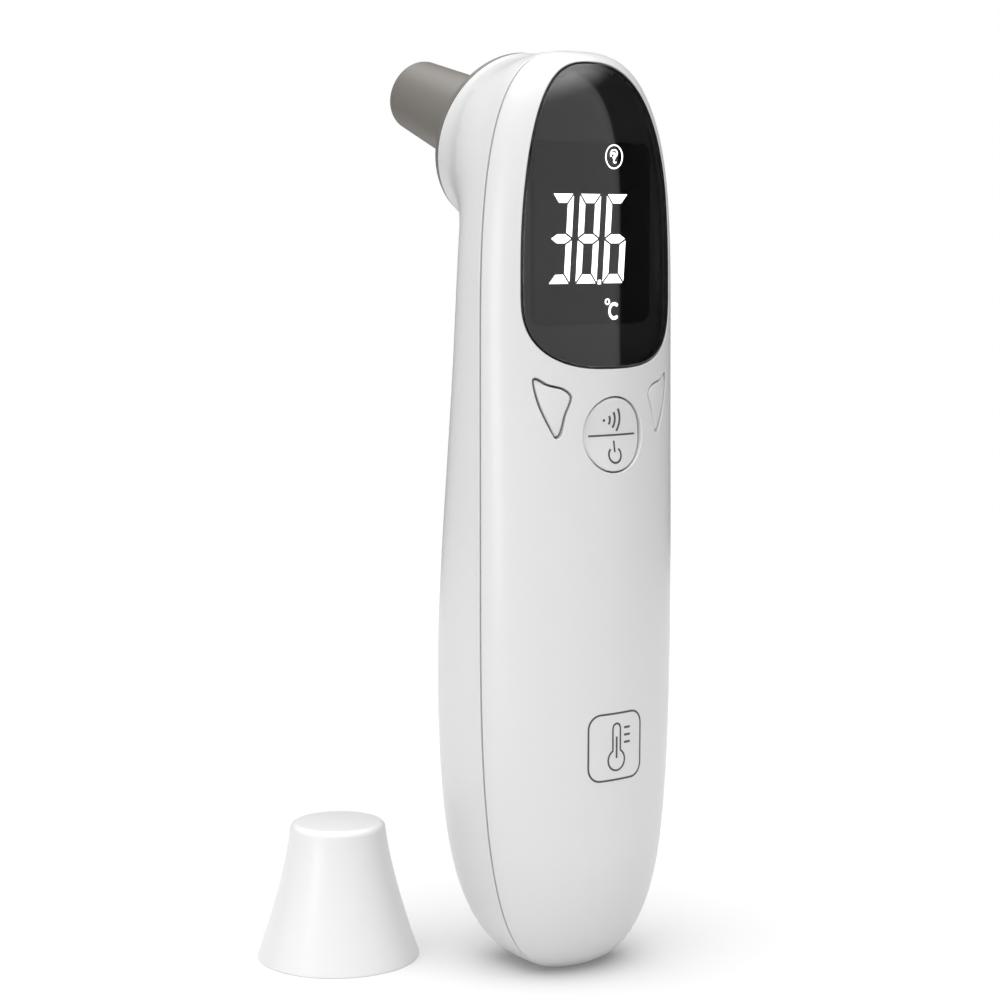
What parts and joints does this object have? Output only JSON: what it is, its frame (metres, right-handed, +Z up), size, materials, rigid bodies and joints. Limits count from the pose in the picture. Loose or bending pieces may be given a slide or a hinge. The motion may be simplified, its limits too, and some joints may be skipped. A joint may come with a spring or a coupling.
{
  "type": "digital ear thermometer",
  "caption": "Upright infrared ear thermometer: curved handle, egg-shaped display window, press buttons, tilted grey probe, with its flared probe cap standing beside it.",
  "frame": {"origin": "middle of the hand grip, on the body's upright axis in the seam plane, 60 mm above its lowest point", "axes": "+Z up the handle, -Y out of the display, +Y the way the probe points, +X to the right as seen facing the display"},
  "size_m": [0.0605, 0.0559, 0.1497],
  "materials": {
    "case_white": "satin gloss moulded ABS, white",
    "cap_white": "satin moulded polypropylene, white",
    "smoked_lens": "polished smoked acrylic",
    "probe_grey": "fine satin, warm grey",
    "black_plastic": "plain moulded black",
    "board_green": "solder mask",
    "steel": "bright nickel plate",
    "gold": "polished gold plate",
    "filter": "polished silicon",
    "seal_rubber": "plain black",
    "ribbon": "amber polyimide film",
    "cell_jacket": "satin printed film over a metal can"
  },
  "bodies": {
    "body": {"front_shell": "case_white", "rear_shell": "case_white", "case_screw_left": "steel", "case_screw_right": "steel", "display_lens": "smoked_lens", "light_mask": "black_plastic", "display_module": "black_plastic", "circuit_board": "board_green", "main_chip": "black_plastic", "buzzer": "black_plastic", "scan_dome": "steel", "left_dome": "steel", "right_dome": "steel", "battery_tray": "black_plastic", "bridge_contact": "steel", "positive_contact": "steel", "negative_contact": "steel", "battery_spring_left": "steel", "battery_spring_right": "steel", "battery_left": "cell_jacket", "battery_right": "cell_jacket", "probe_nozzle": "probe_grey", "probe_seal": "seal_rubber", "probe_window": "filter", "waveguide": "gold", "thermopile": "steel", "sensor_sleeve": "steel", "sensor_board": "board_green", "sensor_ribbon": "ribbon"},
    "scan_button": {"scan_button": "case_white"},
    "left_key": {"left_key": "case_white"},
    "right_key": {"right_key": "case_white"},
    "battery_door": {"battery_door": "case_white"},
    "probe_cap": {"probe_cap": "cap_white"}
  },
  "joints": [
    {"name": "scan_button_press", "type": "slide", "parent": "body", "child": "scan_button", "axis": [0, 1, 0], "range_m": [0, 0.0006], "stiffness_N_per_m": 1500},
    {"name": "left_key_press", "type": "slide", "parent": "body", "child": "left_key", "axis": [0, 1, 0], "range_m": [0, 0.0005], "stiffness_N_per_m": 1500},
    {"name": "right_key_press", "type": "slide", "parent": "body", "child": "right_key", "axis": [0, 1, 0], "range_m": [0, 0.0005], "stiffness_N_per_m": 1500},
    {"name": "battery_door_tilt", "type": "hinge", "parent": "body", "child": "battery_door", "pos_m": [0, 0.0187, -0.0425], "axis": [-1, 0, 0], "range_deg": [0, 40]},
    {"name": "probe_cap_lift", "type": "slide", "parent": "body", "child": "probe_cap", "axis": [0, 0, 1], "range_m": [0, 0.06]}
  ]
}
